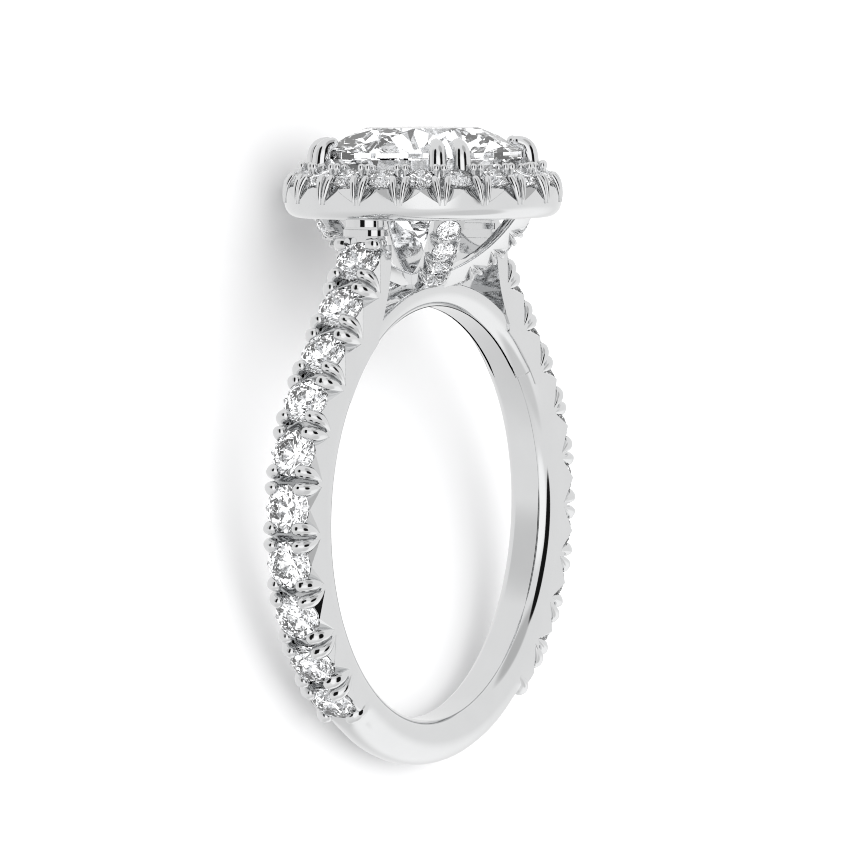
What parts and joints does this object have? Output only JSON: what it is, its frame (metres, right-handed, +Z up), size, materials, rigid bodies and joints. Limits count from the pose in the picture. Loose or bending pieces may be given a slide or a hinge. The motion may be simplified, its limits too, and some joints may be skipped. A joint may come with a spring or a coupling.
{
  "type": "diamond ring",
  "caption": "Diamond ring with a round centre stone in a halo, on an openwork basket, and a band set with small stones down both shoulders.",
  "frame": {"origin": "on the surface that the ring lies on, under the middle of the ring's box", "axes": "the ring lies on its side: +Y runs along its length from the head at -Y to the back of the band, +X across the band, +Z up; the finger axis leans 11.5 degrees from +Z towards +Y"},
  "size_m": [0.0222, 0.0263, 0.0115],
  "materials": {
    "metal": "polished white gold",
    "diamond": "faceted, polished"
  },
  "bodies": {
    "root": {"ring_mount": "metal", "centre_stone": "diamond", "shoulder_stone_left_1": "diamond", "shoulder_stone_left_2": "diamond", "shoulder_stone_left_3": "diamond", "shoulder_stone_left_4": "diamond", "shoulder_stone_left_5": "diamond", "shoulder_stone_left_6": "diamond", "shoulder_stone_left_7": "diamond", "shoulder_stone_left_8": "diamond", "shoulder_stone_left_9": "diamond", "shoulder_stone_left_10": "diamond", "shoulder_stone_right_1": "diamond", "shoulder_stone_right_2": "diamond", "shoulder_stone_right_3": "diamond", "shoulder_stone_right_4": "diamond", "shoulder_stone_right_5": "diamond", "shoulder_stone_right_6": "diamond", "shoulder_stone_right_7": "diamond", "shoulder_stone_right_8": "diamond", "shoulder_stone_right_9": "diamond", "shoulder_stone_right_10": "diamond", "halo_stone_1": "diamond", "halo_stone_2": "diamond", "halo_stone_3": "diamond", "halo_stone_4": "diamond", "halo_stone_5": "diamond", "halo_stone_6": "diamond", "halo_stone_7": "diamond", "halo_stone_8": "diamond", "halo_stone_9": "diamond", "halo_stone_10": "diamond", "halo_stone_11": "diamond", "halo_stone_12": "diamond", "halo_stone_13": "diamond", "halo_stone_14": "diamond", "halo_stone_15": "diamond", "halo_stone_16": "diamond", "halo_stone_17": "diamond", "halo_stone_18": "diamond", "halo_stone_19": "diamond", "halo_stone_20": "diamond", "strut_stone_front_left_1": "diamond", "strut_stone_front_left_2": "diamond", "strut_stone_front_left_3": "diamond", "strut_stone_front_left_4": "diamond", "strut_stone_front_right_1": "diamond", "strut_stone_front_right_2": "diamond", "strut_stone_front_right_3": "diamond", "strut_stone_front_right_4": "diamond", "strut_stone_back_right_1": "diamond", "strut_stone_back_right_2": "diamond", "strut_stone_back_right_3": "diamond", "strut_stone_back_right_4": "diamond", "strut_stone_back_left_1": "diamond", "strut_stone_back_left_2": "diamond", "strut_stone_back_left_3": "diamond", "strut_stone_back_left_4": "diamond"}
  },
  "joints": []
}
